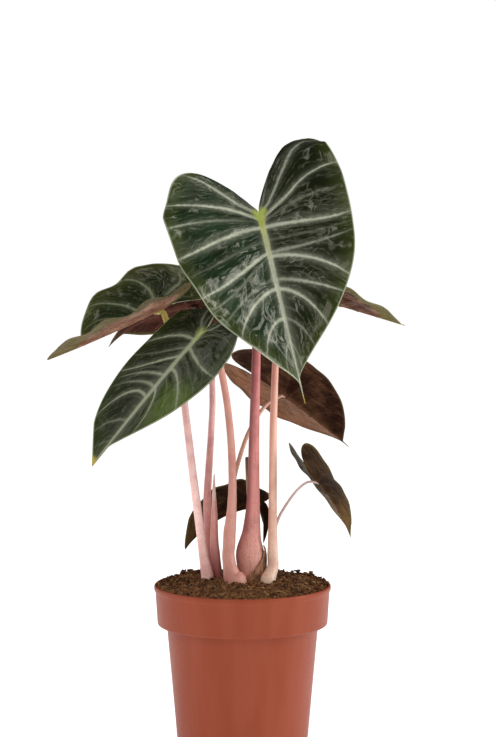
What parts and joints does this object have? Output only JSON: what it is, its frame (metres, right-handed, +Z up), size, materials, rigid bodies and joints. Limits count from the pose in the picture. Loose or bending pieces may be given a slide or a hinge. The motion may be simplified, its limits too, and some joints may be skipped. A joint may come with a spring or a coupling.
{
  "type": "potted alocasia",
  "caption": "Potted alocasia with arrow-shaped, silver-veined dark green leaves on slim pink stalks, standing in a terracotta-coloured plastic nursery pot of peat.",
  "frame": {"origin": "centre of the flat middle of the pot's foot, on the surface that the pot stands on", "axes": "+Z up along the pot's axis; +Y away from the viewer of the plant's front, +X to the viewer's right"},
  "size_m": [0.2912, 0.1961, 0.4777],
  "materials": {
    "pot_plastic": "satin, terracotta-coloured, injection-moulded",
    "peat": "moist peat crumbs and fibre, rough",
    "stalk_rose": "smooth fleshy stalk, rose, darker towards its foot",
    "stalk_pink": "smooth fleshy stalk, peach-pink with fine darker flecks",
    "leaf": "semi-gloss, dark green with silvery veins above, maroon-brown below",
    "cut_end": "drying stalk, olive to tan, matt",
    "dry_scale": "papery, brown, fibrous"
  },
  "bodies": {
    "root": {"pot": "pot_plastic", "soil": "peat", "stalk_top": "stalk_rose", "stalk_front_left": "stalk_pink", "stalk_far_left": "stalk_pink", "stalk_behind_left": "stalk_pink", "stalk_behind_right": "stalk_pink", "stalk_right": "stalk_pink", "stalk_small_right": "stalk_pink", "stalk_small_low": "stalk_pink", "blade_top": "leaf", "blade_front_left": "leaf", "blade_far_left": "leaf", "blade_behind_left": "leaf", "blade_behind_right": "leaf", "blade_right": "leaf", "blade_small_right": "leaf", "blade_small_low": "leaf", "bud_sheath": "stalk_pink", "cut_stalk": "cut_end", "dry_scale": "dry_scale"}
  },
  "joints": []
}
